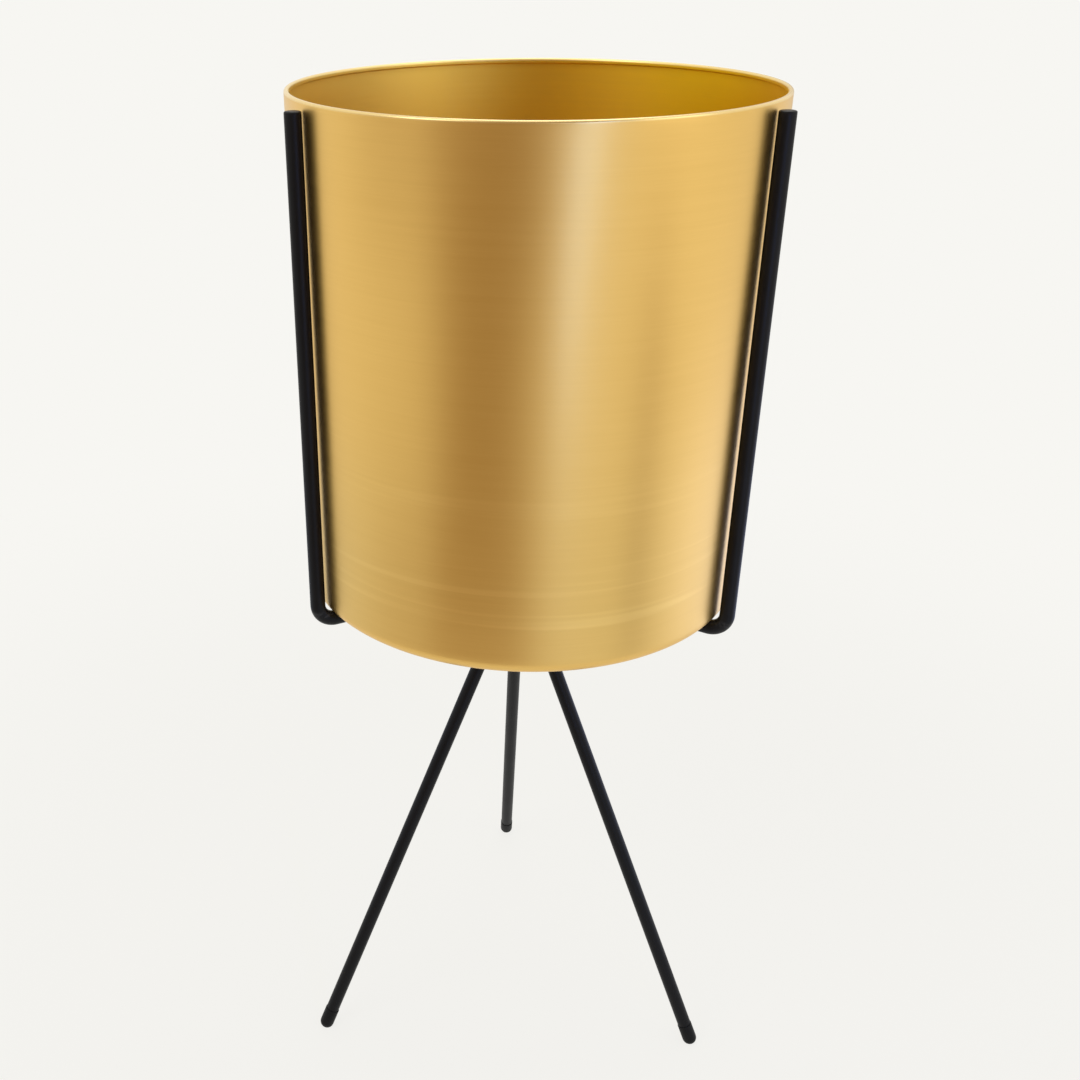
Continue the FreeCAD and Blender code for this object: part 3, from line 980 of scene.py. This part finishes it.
def card_material():
    """Card round the stage, seen by the metal only: brown bands, cool low down, bright low at the right."""
    paint = MaterialGraph("reflected_card")
    place = paint.add("ShaderNodeTexCoord", None, None, "Object")
    split = paint.add("ShaderNodeSeparateXYZ", None, {"Vector": place})
    across, depth, level = split, split.output("Y"), split.output("Z")
    from_front = paint.math("ARCTAN2", across, depth * -1.0)
    from_back = paint.math("ARCTAN2", across * -1.0, depth)
    low = 1.0 - paint.ramp_between(level, 0.08, 0.3)
    top = paint.ramp_between(level, 0.36, 0.48)
    tail = 0.1 + low * 0.55 + top * 0.45
    band = card_band(paint, from_front, 0.78, tail, top * math.radians(4))
    band = band + card_band(paint, from_back, 0.7, 0.0)
    band = band * (1.0 - paint.ramp_between(level, 0.45, 0.75) * 0.55)
    offset = paint.math("ABSOLUTE", from_front)
    high = 1.0 - ramp_in_degrees(paint, offset, 15, 60)

    # A thin dark band at the right, low down, and the bright place beyond it
    thin = ramp_in_degrees(paint, from_front, 43, 50)
    thin = thin * (1.0 - ramp_in_degrees(paint, from_front, 54, 61))
    thin = thin * (1.0 - paint.ramp_between(level, 0.36, 0.5)) * 0.65
    brown = band + (high - band) * paint.ramp_between(level, 0.62, 0.72) + thin
    cool = low * (1.0 - band) * 0.3
    right = ramp_in_degrees(paint, from_front, 55, 88)
    right = right * (1.0 - ramp_in_degrees(paint, from_front, 130, 150))
    bright = right * (1.0 - paint.ramp_between(level, 0.15, 0.42)) * 0.55

    card = paint.add("ShaderNodeBsdfTransparent")
    for share, colour in ((brown, CARD_BROWN), (cool, CARD_COOL), (bright, CARD_BRIGHT)):
        layer = paint.add("ShaderNodeEmission", None, {"Color": colour, "Strength": 1.0})
        card = paint.add("ShaderNodeMixShader", None, {0: share, 1: card, 2: layer})
    return paint.finish(card)


def sheet_mesh(name, rows):
    """A mesh of quads between rows of points."""
    width = len(rows[0])
    points = [point for row in rows for point in row]
    faces = []
    for row in range(len(rows) - 1):
        for column in range(width - 1):
            corner = row * width + column
            faces.append((corner, corner + 1, corner + width + 1, corner + width))
    mesh = bpy.data.meshes.new(name)
    mesh.from_pydata(points, [], faces)
    return mesh


def stage_piece(name, mesh, material):
    """A piece of the stage, which is no part of the planter."""
    piece = bpy.data.objects.new(name, mesh)
    piece.data.materials.append(material)
    bpy.context.scene.collection.objects.link(piece)
    return piece


def area_light(name, place, power, size=SOFT_SIZE, lean=0.0, colour=(1.0, 1.0, 1.0)):
    """An area light that looks at the middle of the planter and leans to one side."""
    lamp = bpy.data.lights.new(name, "AREA")
    lamp.shape = "RECTANGLE"
    lamp.size, lamp.size_y = size
    lamp.energy = power
    lamp.color = colour
    light = bpy.data.objects.new(name, lamp)
    light.location = place
    light.rotation_euler = (Vector(LIGHT_AIM) - Vector(place)).to_track_quat("-Z", "Y").to_euler()
    light.rotation_euler.rotate_axis("Z", lean)
    bpy.context.scene.collection.objects.link(light)


def set_camera(studio):
    """Look at the planter as the photograph does."""
    camera = bpy.data.cameras.new("camera")
    camera.sensor_width = SENSOR_WIDTH
    camera.lens = studio.lens
    camera.shift_x, camera.shift_y = studio.shift
    camera.dof.use_dof = False
    holder = bpy.data.objects.new("camera", camera)
    pitch, yaw, roll = studio.camera_turn
    turn = Matrix.Rotation(-yaw, 4, "Z") @ Matrix.Rotation(QUARTER_TURN - pitch, 4, "X")
    turn = turn @ Matrix.Rotation(roll, 4, "Z")
    holder.matrix_world = Matrix.Translation(studio.camera_place) @ turn
    bpy.context.scene.collection.objects.link(holder)
    bpy.context.scene.camera = holder


class PLANTER_OT_stage(PlanterOperator, bpy.types.Operator):
    """Set up the pale floor, the light and the camera"""

    bl_idname = "planter.stage"
    bl_label = "Set the stage"

    def execute(self, context):
        studio = context.scene.planter_studio
        context.scene.view_settings.view_transform = "Standard"
        light_surroundings(studio)

        reach = FLOOR_REACH
        corners = [[(x, y, 0.0) for x in (-reach, reach)] for y in (-reach, reach)]
        stage_piece("floor", sheet_mesh("floor", corners), floor_material(studio))

        angles = [FULL_TURN * step / CARD_SIDES for step in range(CARD_SIDES + 1)]
        arc = [(CARD_RADIUS * math.sin(angle), -CARD_RADIUS * math.cos(angle)) for angle in angles]
        rows = [[(x, y, level) for x, y in arc] for level in CARD_LEVELS]
        card = stage_piece("card", sheet_mesh("card", rows), card_material())
        card.visible_camera = False
        card.visible_diffuse = False
        card.visible_transmission = False
        card.visible_shadow = False

        area_light("key_light", (-1.0, -0.9, 1.5), studio.key_power)
        area_light("fill_light", (1.3, -0.7, 1.0), studio.fill_power)
        area_light("top_light", (0.1, 0.5, 1.7), studio.top_power)
        strip = (STRIP_SIZE, STRIP_LEAN, STRIP_COLOUR)
        area_light("strip_light", (0.354, -0.839, 0.56), studio.strip_power, *strip)
        set_camera(studio)
        return {"FINISHED"}


OPERATORS = (PLANTER_OT_pot, PLANTER_OT_rods, PLANTER_OT_weld, PLANTER_OT_tips, PLANTER_OT_stage)
GROUPS = {
    "planter_pot": PotSizes,
    "planter_stand": StandSizes,
    "planter_finishes": Finishes,
    "planter_studio": Studio,
}


class PLANTER_PT_pieces(bpy.types.Panel):
    """The planter's pieces and their sizes"""

    bl_idname = "PLANTER_PT_pieces"
    bl_label = "Planter"
    bl_space_type = "VIEW_3D"
    bl_region_type = "UI"
    bl_category = "Planter"

    def draw(self, context):
        for operator in OPERATORS:
            self.layout.operator(operator.bl_idname)
        for name, group in GROUPS.items():
            column = self.layout.column()
            for setting in group.__annotations__:
                column.prop(getattr(context.scene, name), setting)


CLASSES = (*GROUPS.values(), *OPERATORS, PLANTER_PT_pieces)


def register():
    for item in CLASSES:
        bpy.utils.register_class(item)
    for name, group in GROUPS.items():
        setattr(bpy.types.Scene, name, bpy.props.PointerProperty(type=group))


def unregister():
    for name in GROUPS:
        delattr(bpy.types.Scene, name)
    for item in reversed(CLASSES):
        bpy.utils.unregister_class(item)


def main():
    register()
    bpy.ops.planter.pot()
    bpy.ops.planter.rods()
    bpy.ops.planter.weld()
    bpy.ops.planter.tips()
    bpy.ops.planter.stage()


if __name__ == "__main__":
    main()
